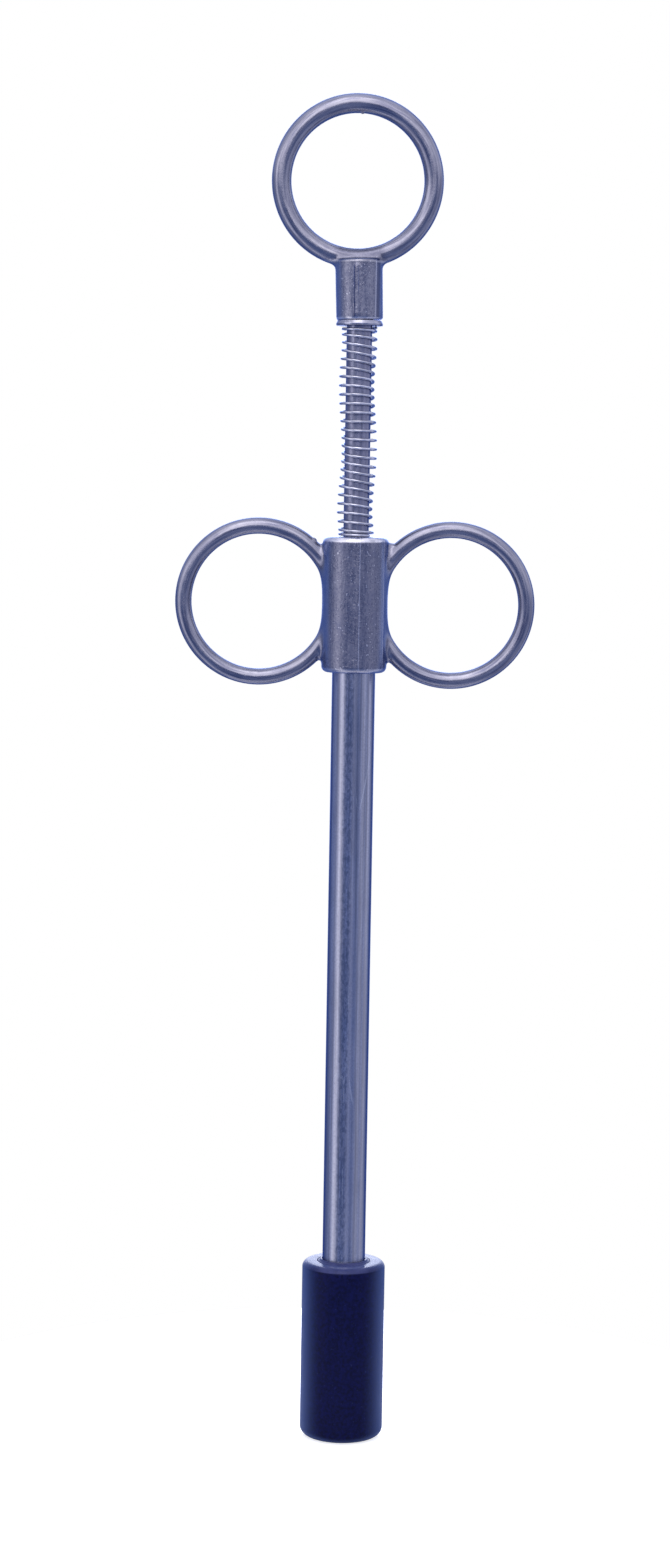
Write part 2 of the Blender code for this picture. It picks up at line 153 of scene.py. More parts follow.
def arc(centre, radius, start, end, steps=8):
    """Points of an arc, from start to end in degrees."""
    angles = np.radians(np.linspace(start, end, steps + 1))
    return [(centre[0] + radius * math.cos(a), centre[1] + radius * math.sin(a)) for a in angles]


def lathe_mesh(profile, sides, closed):
    """Points and faces of a profile of (radius, height) turned about Z, walls to the outside."""
    angles = np.arange(sides) * TAU / sides
    rows = []
    points = []
    for radius, height in np.array(profile, float):
        if radius < 1e-6:
            rows.append([len(points)] * sides)
            points.append((0, 0, height))
        else:
            rows.append(list(range(len(points), len(points) + sides)))
            points.extend((radius * math.cos(a), radius * math.sin(a), height) for a in angles)
    pairs = list(zip(rows, rows[1:]))
    if closed:
        pairs.append((rows[-1], rows[0]))
    faces = []
    for low, high in pairs:
        for i in range(sides):
            j = (i + 1) % sides
            corner = [low[i], low[j], high[j], high[i]]
            face = [v for k, v in enumerate(corner) if v not in corner[:k]]
            if len(face) > 2:
                faces.append(face)
    return points, faces


def turned(name, profile, body, finish, replaces, sides=128, closed=True):
    """A piece turned on a lathe. A profile that isn't closed starts and ends on the axis."""
    points, faces = lathe_mesh(profile, sides, closed)
    new_piece(name, points, faces, body, finish, replaces)


def swept(centres, radius, sides):
    """Points and faces of a round wire along these centres, with domed ends."""
    centres = np.asarray(centres, float)
    along = np.gradient(centres, axis=0)
    along /= np.linalg.norm(along, axis=1)[:, None]
    across = np.cross(along, (0, 0, 1.0))
    across /= np.linalg.norm(across, axis=1)[:, None]
    up = np.cross(across, along)
    angles = np.arange(sides) * TAU / sides
    ring = np.cos(angles)[:, None, None] * across + np.sin(angles)[:, None, None] * up
    # Each row of a flattened dome is its radius and how far out it stands, in shares of the wire's radius
    dome = [(math.sin(t), math.cos(t) * 0.6) for t in np.linspace(0.2, math.pi / 2, 4)[:-1]]
    rows = []
    for share, out in dome:
        rows.append(centres[0] - along[0] * radius * out + ring[:, 0] * radius * share)
    for i in range(len(centres)):
        rows.append(centres[i] + ring[:, i] * radius)
    for share, out in reversed(dome):
        rows.append(centres[-1] + along[-1] * radius * out + ring[:, -1] * radius * share)
    faces = []
    for i in range(len(rows) - 1):
        for j in range(sides):
            k = (j + 1) % sides
            faces.append([i * sides + j, i * sides + k, (i + 1) * sides + k, (i + 1) * sides + j])
    faces.append(list(range(sides))[::-1])
    last = (len(rows) - 1) * sides
    faces.append(list(range(last, last + sides)))
    return np.concatenate(rows), faces


def shell(distance, low, high, cell):
    """Points and faces of the surface where distance(points) is 0, one vertex per crossed cell."""
    low, high = np.array(low, float), np.array(high, float)
    counts = np.ceil((high - low) / cell).astype(int) + 1
    lines = [low[i] + cell * np.arange(counts[i]) for i in range(3)]
    grid = np.stack(np.meshgrid(*lines, indexing="ij"), axis=-1)
    value = distance(grid.reshape(-1, 3)).reshape(counts)
    inside = value < 0
    cells = counts - 1
    total = np.zeros((*cells, 3))
    hits = np.zeros(cells, int)
    crossings = []
    for axis in range(3):
        first = [slice(None)] * 3
        second = [slice(None)] * 3
        first[axis] = slice(0, -1)
        second[axis] = slice(1, None)
        first, second = tuple(first), tuple(second)
        crossed = inside[first] != inside[second]
        where = np.argwhere(crossed)
        a = value[first][crossed]
        b = value[second][crossed]
        spot = where.astype(float)
        spot[:, axis] += a / (a - b)
        crossings.append((axis, where, inside[first][crossed]))
        one, two = [i for i in range(3) if i != axis]
        for shift in ((0, 0), (1, 0), (0, 1), (1, 1)):
            at = where.copy()
            at[:, one] -= shift[0]
            at[:, two] -= shift[1]
            good = ((at >= 0) & (at < cells)).all(axis=1)
            index = tuple(at[good].T)
            np.add.at(total, index, spot[good])
            np.add.at(hits, index, 1)
    used = hits > 0
    number = np.full(cells, -1)
    number[used] = np.arange(used.sum())
    points = low + cell * total[used] / hits[used][:, None]
    faces = []
    for axis, where, starts_inside in crossings:
        one, two = [i for i in range(3) if i != axis]
        corners = []
        for shift in ((0, 0), (1, 0), (1, 1), (0, 1)):
            at = where.copy()
            at[:, one] -= shift[0]
            at[:, two] -= shift[1]
            corners.append(number[tuple(at.T)])
        quads = np.stack(corners, axis=1)
        turn = starts_inside if axis != 1 else ~starts_inside
        quads[~turn] = quads[~turn][:, ::-1]
        faces.append(quads)
    for _ in range(3):
        points = onto(distance, points, cell * 0.4)
    return points, np.concatenate(faces).tolist()


def onto(distance, points, reach):
    """Moves points onto the surface along the distance's own slope, by no more than reach."""
    step = 0.02
    slope = np.zeros_like(points)
    for axis in range(3):
        ahead = points.copy()
        behind = points.copy()
        ahead[:, axis] += step
        behind[:, axis] -= step
        slope[:, axis] = (distance(ahead) - distance(behind)) / (2 * step)
    move = distance(points)[:, None] * slope / np.maximum((slope**2).sum(axis=1), 0.05)[:, None]
    length = np.linalg.norm(move, axis=1)[:, None]
    return points - move * np.minimum(1, reach / np.maximum(length, 1e-9))


# ---------------------------------------------------------------- distances, in millimetres
def join(a, b, blend):
    """Both shapes, with a fillet of about this size where they meet."""
    h = np.clip(0.5 + 0.5 * (b - a) / blend, 0, 1)
    return b * (1 - h) + a * h - blend * h * (1 - h)


def cut(a, b, blend=0.25):
    """The first shape without the second, its new edge slightly broken."""
    return -join(-a, b, blend)


def ring_at(p, x, z, wire, tall=0.0):
    """A ring in the XZ plane, which may be a little taller than it is wide."""
    up = (p[:, 2] - z) * RING_RADIUS / (RING_RADIUS + tall)
    out = np.hypot(p[:, 0] - x, up) - RING_RADIUS
    return np.hypot(out, p[:, 1]) - wire


def post(p, radius, bottom, top, round_low, round_high):
    """A cylinder about Z with its two edges rounded."""
    edge = np.where(p[:, 2] > (bottom + top) / 2, round_high, round_low)
    out = np.hypot(p[:, 0], p[:, 1]) - radius + edge
    up = np.abs(p[:, 2] - (bottom + top) / 2) - (top - bottom) / 2 + edge
    outside = np.hypot(np.maximum(out, 0), np.maximum(up, 0))
    return outside + np.minimum(np.maximum(out, up), 0) - edge


def hole(p, radius, bottom, top):
    """A straight hole about Z."""
    out = np.hypot(p[:, 0], p[:, 1]) - radius
    return np.maximum(out, np.abs(p[:, 2] - (bottom + top) / 2) - (top - bottom) / 2)


def cross_hole(p, z):
    """A set screw's hole along Y, which opens on the +Y side."""
    return np.maximum(np.hypot(p[:, 0], p[:, 2] - z) - SCREW_HOLE, 1 - p[:, 1])


def ball(p, centre, radius):
    """A ball, which makes a small nub where it stands out of a casting."""
    return np.linalg.norm(p - np.array(centre), axis=1) - radius


# ---------------------------------------------------------------- procedural finishes
EDGE_TINT = (0.55, 0.68, 1.0, 1)


class Nodes:
    """Short calls for the nodes of a material or a world."""

    def __init__(self, tree):
        self.tree = tree

    def node(self, kind, **settings):
        made = self.tree.nodes.new(kind)
        for key, value in settings.items():
            setattr(made, key, value)
        return made

    def put(self, socket, value):
        """Links a socket, or sets a value. A colour may leave out its alpha."""
        if isinstance(value, bpy.types.NodeSocket):
            self.tree.links.new(value, socket)
        elif isinstance(value, tuple) and len(socket.default_value) == len(value) + 1:
            socket.default_value = (*value, 1)
        else:
            socket.default_value = value

    def split(self, vector):
        """The three coordinates of a vector."""
        made = self.node("ShaderNodeSeparateXYZ")
        self.put(made.inputs[0], vector)
        return made.outputs

    def math(self, operation, a, b=0.0, c=None):
        made = self.node("ShaderNodeMath", operation=operation)
        self.put(made.inputs[0], a)
        self.put(made.inputs[1], b)
        if c is not None:
            self.put(made.inputs[2], c)
        return made.outputs[0]

    def product(self, first, *others):
        for other in others:
            first = self.math("MULTIPLY", first, other)
        return first

    def length(self, a, b):
        """The length of the vector (a, b)."""
        return self.math("SQRT", self.math("ADD", self.product(a, a), self.product(b, b)))

    def off(self, value, place=0.0):
        """How far a value is from a place, to either side."""
        return self.math("ABSOLUTE", self.math("SUBTRACT", value, place))

    def remap(self, value, low, high, to_low=0.0, to_high=1.0, smooth=False):
        """The value's range low to high, brought to to_low to to_high and held there outside it."""
        kind = "SMOOTHSTEP" if smooth else "LINEAR"
        made = self.node("ShaderNodeMapRange", interpolation_type=kind)
        self.put(made.inputs["Value"], value)
        made.inputs["From Min"].default_value = low
        made.inputs["From Max"].default_value = high
        made.inputs["To Min"].default_value = to_low
        made.inputs["To Max"].default_value = to_high
        return made.outputs["Result"]

    def blend(self, share, first, second):
        """The first colour, with this share of the second over it."""
        made = self.node("ShaderNodeMix", data_type="RGBA")
        self.put(made.inputs["Factor"], share)
        self.put(made.inputs["A"], first)
        self.put(made.inputs["B"], second)
        return made.outputs["Result"]


class Finish(Nodes):
    """A procedural material. Its patterns lie in the object's own space, in metres."""

    def __init__(self, name):
        self.material = bpy.data.materials.new(name)
        self.material.use_nodes = True
        super().__init__(self.material.node_tree)
        self.shader = self.tree.nodes["Principled BSDF"]
        self.place = self.node("ShaderNodeTexCoord").outputs["Object"]

    def stretched(self, scale):
        """Object coordinates scaled per axis, so that a pattern runs longer along one of them."""
        made = self.node("ShaderNodeMapping")
        self.put(made.inputs["Vector"], self.place)
        made.inputs["Scale"].default_value = scale
        return made.outputs["Vector"]

    def noise(self, scale, detail=3.0, roughness=0.5, vector=None):
        made = self.node("ShaderNodeTexNoise")
        self.put(made.inputs["Vector"], vector or self.place)
        made.inputs["Scale"].default_value = scale
        made.inputs["Detail"].default_value = detail
        made.inputs["Roughness"].default_value = roughness
        return made.outputs["Fac"]

    def cell_edges(self, scale, vector):
        """The distance to the nearest edge between irregular cells."""
        made = self.node("ShaderNodeTexVoronoi", feature="DISTANCE_TO_EDGE")
        self.put(made.inputs["Vector"], vector)
        made.inputs["Scale"].default_value = scale
        return made.outputs["Distance"]

    def edge_on(self, start, end):
        """Grows from 0 to 1 as the surface turns away from the eye."""
        facing = self.node("ShaderNodeLayerWeight").outputs["Facing"]
        return self.remap(facing, start, end, smooth=True)

    def strongest(self, masks):
        """The highest of several masks at each point."""
        total = masks[0]
        for mask in masks[1:]:
            total = self.math("MAXIMUM", total, mask)
        return total

    def layered(self, colour, layers):
        """The colour, with each layer of (share, colour) laid over it in turn."""
        for share, over in layers:
            colour = self.blend(share, colour, over)
        return colour

    def set(self, **values):
        """Sets or links the shader's sockets. An underscore stands for a space in a name."""
        for key, value in values.items():
            self.put(self.shader.inputs[key.replace("_", " ")], value)

    def bump(self, *layers):
        """Each layer is (height, strength, distance in millimetres)."""
        normal = None
        for height, strength, distance in layers:
            made = self.node("ShaderNodeBump")
            made.inputs["Strength"].default_value = strength
            made.inputs["Distance"].default_value = distance * MM
            self.put(made.inputs["Height"], height)
            if normal:
                self.put(made.inputs["Normal"], normal)
            normal = made.outputs["Normal"]
        self.put(self.shader.inputs["Normal"], normal)


# Colours of the cast metal
CAST_DARK = (0.205, 0.205, 0.26)
CAST_LIGHT = (0.33, 0.315, 0.35)
CAST_POLISHED = (0.38, 0.37, 0.415)
CAST_GROOVE = (0.18, 0.18, 0.245)
CAST_GRAIN = (0.115, 0.118, 0.18)
CAST_LUMP = (0.16, 0.17, 0.25)
CAST_SPECK = (0.72, 0.70, 0.72)
CAST_SKIN = (0.55, 0.53, 0.57)
# Painted reflection colour where the castings turn away from the eye
CAST_PAINTED_EDGE_REFLECTION = (0.29, 0.335, 0.475)
# Painted shade colour for the crease where the thumb ring leaves its boss
CAST_PAINTED_CREASE_SHADE = (0.10, 0.102, 0.145)
# Painted shade colour for the dark streaks down the boss
CAST_PAINTED_STREAK_SHADE = (0.06, 0.065, 0.12)
CAST_MOULD_LINE = (0.62, 0.61, 0.66)
# Painted highlight colour for the bright bands along the castings' edges
CAST_PAINTED_HIGHLIGHT = (0.82, 0.79, 0.80)

# Where the finish turns from body to ring, in millimetres: |x| on the grip, z on the thumb ring
GRIP_RING_FROM = (6.8, 7.8)
THUMB_RING_FROM = (259.8, 261.2)
# Streaks of painted shade down the front of the boss, beside its rib and on its right side: x and half
# width
BOSS_SHADE_STREAKS = [(-1.22, 0.12), (3.92, 0.42)]


def on_front(f):
    """Grows from 0 to 1 over the first millimetre in front of the axis."""
    return f.remap(f.split(f.place)[1], 0, -1 * MM)


def polishing_lines(f, ring_x, ring_z, ring, body):
    """Fine lines that run round the rings and along the body."""
    x, y, z = f.split(f.place)
    across = f.math("SUBTRACT", f.math("ABSOLUTE", x) if ring_x else x, ring_x * MM)
    along = f.math("SUBTRACT", z, ring_z * MM)
    round_ring = f.math("MULTIPLY", f.math("ARCTAN2", across, along), 0.8 * MM)
    polar = f.node("ShaderNodeCombineXYZ")
    f.put(polar.inputs[0], f.length(across, along))
    f.put(polar.inputs[1], y)
    f.put(polar.inputs[2], round_ring)
    ring_lines = f.noise(2300, 4, 0.7, polar.outputs[0])
    body_lines = f.noise(2200, 4, 0.65, f.stretched((1, 1, 0.07)))
    return f.math("ADD", f.product(ring_lines, ring), f.product(body_lines, body))


def raised_lines(f, places, body):
    """Thin mould lines down the front of the body, at these x."""
    x = f.split(f.place)[0]
    lines = [f.remap(f.off(x, at * MM), 0.04 * MM, 0.16 * MM, 1, 0, smooth=True) for at in places]
    return f.product(f.strongest(lines), body, on_front(f))


def painted_edge_highlights(f, edges, body, lumps):
    """Painted highlights: bright bands along edges of the body. Each edge is (z, width, share)."""
    z = f.split(f.place)[2]
    bands = []
    for height, width, share in edges:
        bands.append(f.remap(f.off(z, height * MM), width * MM, width * 0.35 * MM, 0, share, smooth=True))
    return f.product(f.strongest(bands), body, f.remap(lumps, 0.3, 0.55, 0.45, 1))


def rough_corners(f):
    """Patches of cast skin left at the grip's upper corners."""
    x, _, z = f.split(f.place)
    corner = f.product(f.remap(z, 192.5 * MM, 196.5 * MM), f.remap(f.off(x), 4.8 * MM, 6.2 * MM))
    return f.product(corner, f.remap(f.noise(1100, 3, 0.6), 0.52, 0.62))


def boss_painted_shade(f, body, grain):
    """Painted shade in the crease where the thumb ring leaves its boss, and streaks of painted shade down
    the boss.
    """
    x, _, z = f.split(f.place)
    # Painted shade: darker in the crease above the boss, near its middle
    crease_shade = f.remap(f.off(z, 261.4 * MM), 2.6 * MM, 1.0 * MM, smooth=True)
    middle = f.remap(f.off(x), 6.2 * MM, 4.0 * MM, smooth=True)
    layers = [(f.product(crease_shade, middle, f.remap(grain, 0.3, 0.7, 0.85, 0.5)), CAST_PAINTED_CREASE_SHADE)]
    for at, half in BOSS_SHADE_STREAKS:
        streak_shade = f.remap(f.off(x, at * MM), half * 0.5 * MM, (half + 0.08) * MM, 0.75, 0, smooth=True)
        layers.append((f.product(streak_shade, f.product(body, on_front(f))), CAST_PAINTED_STREAK_SHADE))
    return layers


def cast_metal(name, ring_x, ring_z, has_boss, highlight_edges, mould_lines, body_colour):
    """Cast and tumbled metal, polished finer on the rings than on the body."""
    f = Finish(name)
    x, y, z = f.split(f.place)
    where, (start, end) = (z, THUMB_RING_FROM) if has_boss else (f.off(x), GRIP_RING_FROM)
    ring = f.remap(where, start * MM, end * MM, smooth=True)
    body = f.math("SUBTRACT", 1, ring)
    rough_cast = f.remap(body, 0, 1, 0.15, 1)
    less_on_ring = f.remap(body, 0, 1, 0.4, 1)

    lines = polishing_lines(f, ring_x, ring_z, ring, body)
    grain = f.noise(1900, 4, 0.65)
    lumps = f.noise(430, 4, 0.6)
    broad = f.noise(120, 3, 0.55)
    pits = f.remap(f.noise(1300, 2, 0.5), 0.40, 0.30)
    specks = f.remap(f.noise(1900, 1, 0.5), 0.67, 0.73)
    seam = f.remap(f.off(y, 0.1 * MM), 0.06 * MM, 0.2 * MM, 1, 0, smooth=True)
    raised = raised_lines(f, mould_lines, body)
    edge_highlight = painted_edge_highlights(f, highlight_edges, body, lumps)

    metal = f.blend(f.remap(broad, 0.36, 0.66), CAST_DARK, CAST_LIGHT)
    layers = [
        (f.remap(lines, 0.42, 0.62, 0, 0.85), CAST_POLISHED),
        (f.product(f.remap(lines, 0.47, 0.38, 0, 0.8), ring), CAST_GROOVE),
        (f.product(body, 0.6), body_colour),
        (f.product(f.remap(grain, 0.49, 0.62, 0, 0.8), rough_cast), CAST_GRAIN),
        (f.product(f.remap(lumps, 0.52, 0.70, 0, 0.5), less_on_ring), CAST_LUMP),
        (f.product(specks, rough_cast, 0.75), CAST_SPECK),
        (f.product(rough_corners(f), body, 0.5), CAST_SKIN),
        # Painted reflection: bluer where the surface turns away from the eye
        (f.product(f.edge_on(0.25, 0.5), f.remap(body, 0, 1, 0.4, 0.8)), CAST_PAINTED_EDGE_REFLECTION),
    ]
    if has_boss:
        layers += boss_painted_shade(f, body, grain)
    # The mould lines, then the painted highlight along the body's edges
    layers += [(f.product(raised, 0.6), CAST_MOULD_LINE), (edge_highlight, CAST_PAINTED_HIGHLIGHT)]

    rough = f.math("ADD", f.remap(lumps, 0.3, 0.7, 0.22, 0.34), f.remap(lines, 0.3, 0.7, -0.05, 0.06))
    rough = f.math("SUBTRACT", rough, f.product(edge_highlight, 0.10))
    rough = f.math("SUBTRACT", rough, f.product(ring, 0.05))
    f.set(Base_Color=f.layered(metal, layers), Metallic=1.0, Roughness=rough, Specular_Tint=EDGE_TINT)
    f.bump(
        (f.product(lumps, less_on_ring), 0.45, 0.10),
        (lines, 0.40, 0.05),
        (f.product(grain, rough_cast), 0.5, 0.05),
        (f.product(pits, rough_cast), 0.4, -0.04),
        (seam, 0.6, 0.05),
        (raised, 0.5, 0.06),
    )
    return f.material


# A dull mottled band down the drawn tube and rod: x, and its inner and outer half width
MOTTLE_X, MOTTLE_INNER, MOTTLE_OUTER = -0.9, 0.7, 1.4
STEEL_SCRATCH = (0.75, 0.76, 0.80)
STEEL_MOTTLE = (0.17, 0.19, 0.25)
# Painted reflection colour where the steel turns away from the eye
STEEL_PAINTED_EDGE_REFLECTION = (0.10, 0.13, 0.27)


def bright_steel(name, along, tint, rough):
    """Bright steel, with fine lines that run along Z if along is true, and otherwise round it."""
    f = Finish(name)
    lines = f.noise(2300, 3, 0.65, f.stretched((1, 1, 0.012) if along else (0.05, 0.05, 1)))
    streaks = f.noise(800, 2, 0.5, f.stretched((1, 1, 0.015) if along else (0.1, 0.1, 1)))
    smudge = f.noise(70, 4, 0.6)
    fine = f.noise(2100, 3, 0.6)
    stains = f.remap(f.noise(320, 4, 0.6, f.stretched((1, 1, 0.3))), 0.55, 0.72)
    edges = f.cell_edges(260, f.stretched((1, 1, 0.05)))
    scratch = f.product(f.remap(edges, 0.0, 0.014, 1, 0), f.remap(f.noise(60, 2, 0.5), 0.54, 0.60))
    dark = tuple(c * 0.62 for c in tint)
    light = tuple(c * 1.12 for c in tint)
    layers = [
        (f.remap(lines, 0.42, 0.7), light),
        (f.product(stains, 0.35), dark),
        (f.remap(fine, 0.46, 0.60, 0, 0.28), dark),
        (f.product(scratch, 0.5), STEEL_SCRATCH),
    ]
    if along:
        off = f.off(f.split(f.place)[0], MOTTLE_X * MM)
        band = f.remap(off, MOTTLE_OUTER * MM, MOTTLE_INNER * MM, smooth=True)
        mottle = f.remap(f.noise(1500, 4, 0.7, f.stretched((1, 1, 0.5))), 0.47, 0.56, 0, 0.60)
        layers.append((f.product(band, mottle), STEEL_MOTTLE))
        # Painted reflection: darker blue where the surface turns away from the eye
        layers.append((f.product(f.edge_on(0.5, 0.72), 0.85), STEEL_PAINTED_EDGE_REFLECTION))
    colour = f.layered(f.blend(f.remap(streaks, 0.32, 0.68), dark, tint), layers)
    spread = f.remap(smudge, 0.3, 0.7, rough - 0.05, rough + 0.07)
    spread = f.math("ADD", spread, f.product(scratch, 0.12))
    f.set(Base_Color=colour, Metallic=1.0, Roughness=spread, Specular_Tint=EDGE_TINT)
    f.bump((lines, 0.25, 0.03), (streaks, 0.15, 0.05), (fine, 0.2, 0.015), (scratch, 0.3, 0.03))
    return f.material


RUBBER_DUST = (0.03, 0.045, 0.14)
# Painted sheen colour where the rubber turns away from the eye
RUBBER_PAINTED_EDGE_SHEEN = (0.045, 0.075, 0.20)
# Painted highlight colour for the top of the head above its shoulder
RUBBER_PAINTED_TOP_HIGHLIGHT = (0.052, 0.060, 0.155)
RUBBER_SHEEN = (0.25, 0.45, 1.0, 1)


def moulded_rubber(name, colour, rough, shoulder):
    """Moulded rubber with a fine grain. Above the shoulder's height it is smoother and painted paler, a
    painted highlight strongest near the middle in x.
    """
    f = Finish(name)
    x, _, z = f.split(f.place)
    grain = f.noise(1500, 4, 0.65)
    waves = f.noise(160, 2, 0.5)
    drawn = f.noise(500, 3, 0.5, f.stretched((1, 1, 0.12)))
    dust = f.remap(f.noise(2200, 2, 0.5), 0.68, 0.74)
    top = f.remap(z, shoulder * MM, (shoulder + 0.3) * MM, smooth=True)
    middle = f.remap(f.off(x), 3.5 * MM, 7.5 * MM, 1, 0.3, smooth=True)
    lighter = tuple(c * 2.4 + 0.0015 for c in colour)
    layers = [
        (f.product(dust, 0.35), RUBBER_DUST),
        # Painted sheen: lighter blue where the surface turns away from the eye
        (f.edge_on(0.15, 0.8), RUBBER_PAINTED_EDGE_SHEEN),
        # Painted highlight: the top above the shoulder painted paler, most near the middle
        (f.product(top, middle, f.remap(drawn, 0.3, 0.7, 0.6, 1)), RUBBER_PAINTED_TOP_HIGHLIGHT),
    ]
    f.set(Base_Color=f.layered(f.blend(f.remap(grain, 0.38, 0.62), colour, lighter), layers))
    spread = f.remap(waves, 0.3, 0.7, rough - 0.05, rough + 0.06)
    spread = f.math("ADD", spread, f.remap(grain, 0.3, 0.7, -0.04, 0.05))
    f.set(Roughness=f.math("SUBTRACT", spread, f.product(top, 0.19)))
    f.set(Specular_IOR_Level=0.13, Sheen_Weight=0.06, Sheen_Roughness=0.4, Sheen_Tint=RUBBER_SHEEN)
    f.bump((waves, 0.25, 0.25), (drawn, 0.10, 0.06), (grain, 0.4, 0.05))
    return f.material


def moulded_plastic(name, colour):
    """Plain moulded plastic with a faint grain."""
    f = Finish(name)
    grain = f.noise(1200, 3, 0.5)
    darker = tuple(c * 0.88 for c in colour)
    f.set(Base_Color=f.blend(f.remap(grain, 0.3, 0.7), colour, darker))
    f.set(Roughness=f.remap(grain, 0.3, 0.7, 0.38, 0.5))
    f.bump((grain, 0.2, 0.03))
    return f.material


def turned_metal(name, colour, rough):
    """A lathe-turned piece with fine rings round Z."""
    f = Finish(name)
    rings = f.noise(6000, 2, 0.5, f.stretched((0.02, 0.02, 1)))
    grain = f.noise(2400, 3, 0.5)
    darker = tuple(c * 0.8 for c in colour)
    f.set(Base_Color=f.blend(f.remap(grain, 0.3, 0.7), colour, darker))
    f.set(Metallic=1.0, Roughness=f.remap(grain, 0.3, 0.7, rough - 0.05, rough + 0.08))
    f.bump((rings, 0.2, 0.02), (grain, 0.2, 0.02))
    return f.material


GRIP_CAST = cast_metal(
    "grip_cast_metal",
    ring_x=FINGER_X,
    ring_z=FINGER_Z,
    has_boss=False,
    # Painted highlights along the grip's top and bottom edges
    highlight_edges=[(GRIP_TOP - 0.55, 0.75, 1), (GRIP_BOTTOM + 0.5, 0.75, 0.5)],
    mould_lines=[0.93, 6.25],
    body_colour=(0.235, 0.232, 0.28),
)
THUMB_CAST = cast_metal(
    "thumb_cast_metal",
    ring_x=0,
    ring_z=THUMB_Z,
    has_boss=True,
    # Painted highlights along the boss's bottom and top edges
    highlight_edges=[(BOSS_BOTTOM + 0.1, 0.6, 1), (259.9, 0.4, 0.3)],
    mould_lines=[3.4],
    body_colour=(0.30, 0.295, 0.34),
)
STEEL = bright_steel("tube_steel", True, (0.47, 0.465, 0.525), 0.20)
ROD_STEEL = bright_steel("rod_steel", True, (0.32, 0.31, 0.38), 0.30)
WASHER_STEEL = bright_steel("washer_steel", False, (0.48, 0.47, 0.53), 0.25)
WIRE = bright_steel("spring_wire", False, (0.66, 0.65, 0.70), 0.15)
RUBBER = moulded_rubber("head_rubber", (0.0001, 0.0008, 0.019), 0.42, HEAD_TOP - 1.1)
# The seals get no painted highlight on top, so their shoulder is put above them all
SEAL = moulded_rubber("seal_rubber", (0.004, 0.005, 0.016), 0.5, HEAD_TOP + 10)
PLASTIC = moulded_plastic("bush_plastic", (0.72, 0.71, 0.66))
BRASS = turned_metal("ferrule_brass", (0.60, 0.44, 0.18), 0.32)
OXIDE = turned_metal("screw_oxide", (0.07, 0.07, 0.08), 0.38)


# ---------------------------------------------------------------- castings
def grip_distance(p):
    """The finger grip: a body with two rings, a nub, a small web and its holes."""
    shape = post(p, GRIP_RADIUS, GRIP_BOTTOM, GRIP_TOP, round_low=1.3, round_high=1.2)
    for side in (-1, 1):
        ring = ring_at(p, side * FINGER_X, FINGER_Z - side * FINGER_SKEW, FINGER_WIRE)
        shape = join(shape, ring, blend=1.3)
    shape = join(shape, ball(p, *GRIP_NUB), blend=0.3)
    web = np.maximum(np.abs(p[:, 1] - GRIP_WEB_Y) - GRIP_WEB_HALF_WIDTH, ball(p, *GRIP_WEB))
    shape = join(shape, web, blend=0.6)
    shape = cut(shape, hole(p, GRIP_TUBE_SOCKET, GRIP_BOTTOM - 2, GRIP_TUBE_END))
    shape = cut(shape, hole(p, GRIP_BUSH_SOCKET, GRIP_TUBE_END - 0.8, GRIP_BUSH_END))
    shape = cut(shape, hole(p, GRIP_ROD_HOLE, GRIP_BUSH_END - 0.9, GRIP_TOP + 2))
    for z in GRIP_SCREWS.values():
        shape = cut(shape, cross_hole(p, z), blend=0.3)
    return shape


def thumb_distance(p):
    """The thumb ring: a boss that leans and flares a little, its ring, rib, nub and holes."""
    turn = np.array(Matrix.Rotation(THUMB_LEAN, 3, "Y"))
    q = (p - (0, 0, BOSS_BOTTOM)) @ turn.T + (0, 0, BOSS_BOTTOM)
    radius = BOSS_RADIUS + BOSS_FLARE * np.clip((q[:, 2] - BOSS_BOTTOM) / BOSS_FLARE_HEIGHT, 0, 1)
    straight = q.copy()
    straight[:, :2] *= (BOSS_RADIUS / radius)[:, None]
    boss = post(straight, BOSS_RADIUS, BOSS_BOTTOM, BOSS_TOP, round_low=0.55, round_high=0.45)
    shape = join(boss, ring_at(q, 0, THUMB_Z, THUMB_WIRE, THUMB_TALL), blend=1.1)
    out = np.hypot(q[:, 0], q[:, 1])
    rib_side = np.maximum(np.abs(q[:, 0] - RIB_X) - RIB_HALF_WIDTH, 0)
    rib_end = np.maximum(np.abs(q[:, 2] - RIB_Z) - RIB_HALF_HEIGHT, 0)
    rib_deep = np.maximum(np.abs(np.maximum(q[:, 1], -out) + BOSS_RADIUS) - RIB_OUT, 0)
    rib = np.sqrt(rib_side**2 + rib_end**2 + rib_deep**2) - RIB_ROUND
    shape = join(shape, rib, blend=0.12)
    shape = join(shape, ball(q, *THUMB_NUB), blend=0.2)
    shape = cut(shape, hole(p, ROD_RADIUS + 0.2, BOSS_BOTTOM - 2, BOSS_BORE_END))
    return cut(shape, cross_hole(p, BOSS_SCREW), blend=0.3)


def castings():
    cell = 0.28
    points, faces = shell(grip_distance, GRIP_LOW - 1, GRIP_HIGH + 1, cell)
    new_piece("finger_grip_casting", points, faces, "barrel", GRIP_CAST, ["finger_grip"])
    points, faces = shell(thumb_distance, THUMB_LOW - 1, THUMB_HIGH + 1, cell)
    new_piece("thumb_ring_casting", points, faces, "plunger", THUMB_CAST, ["thumb_ring"])


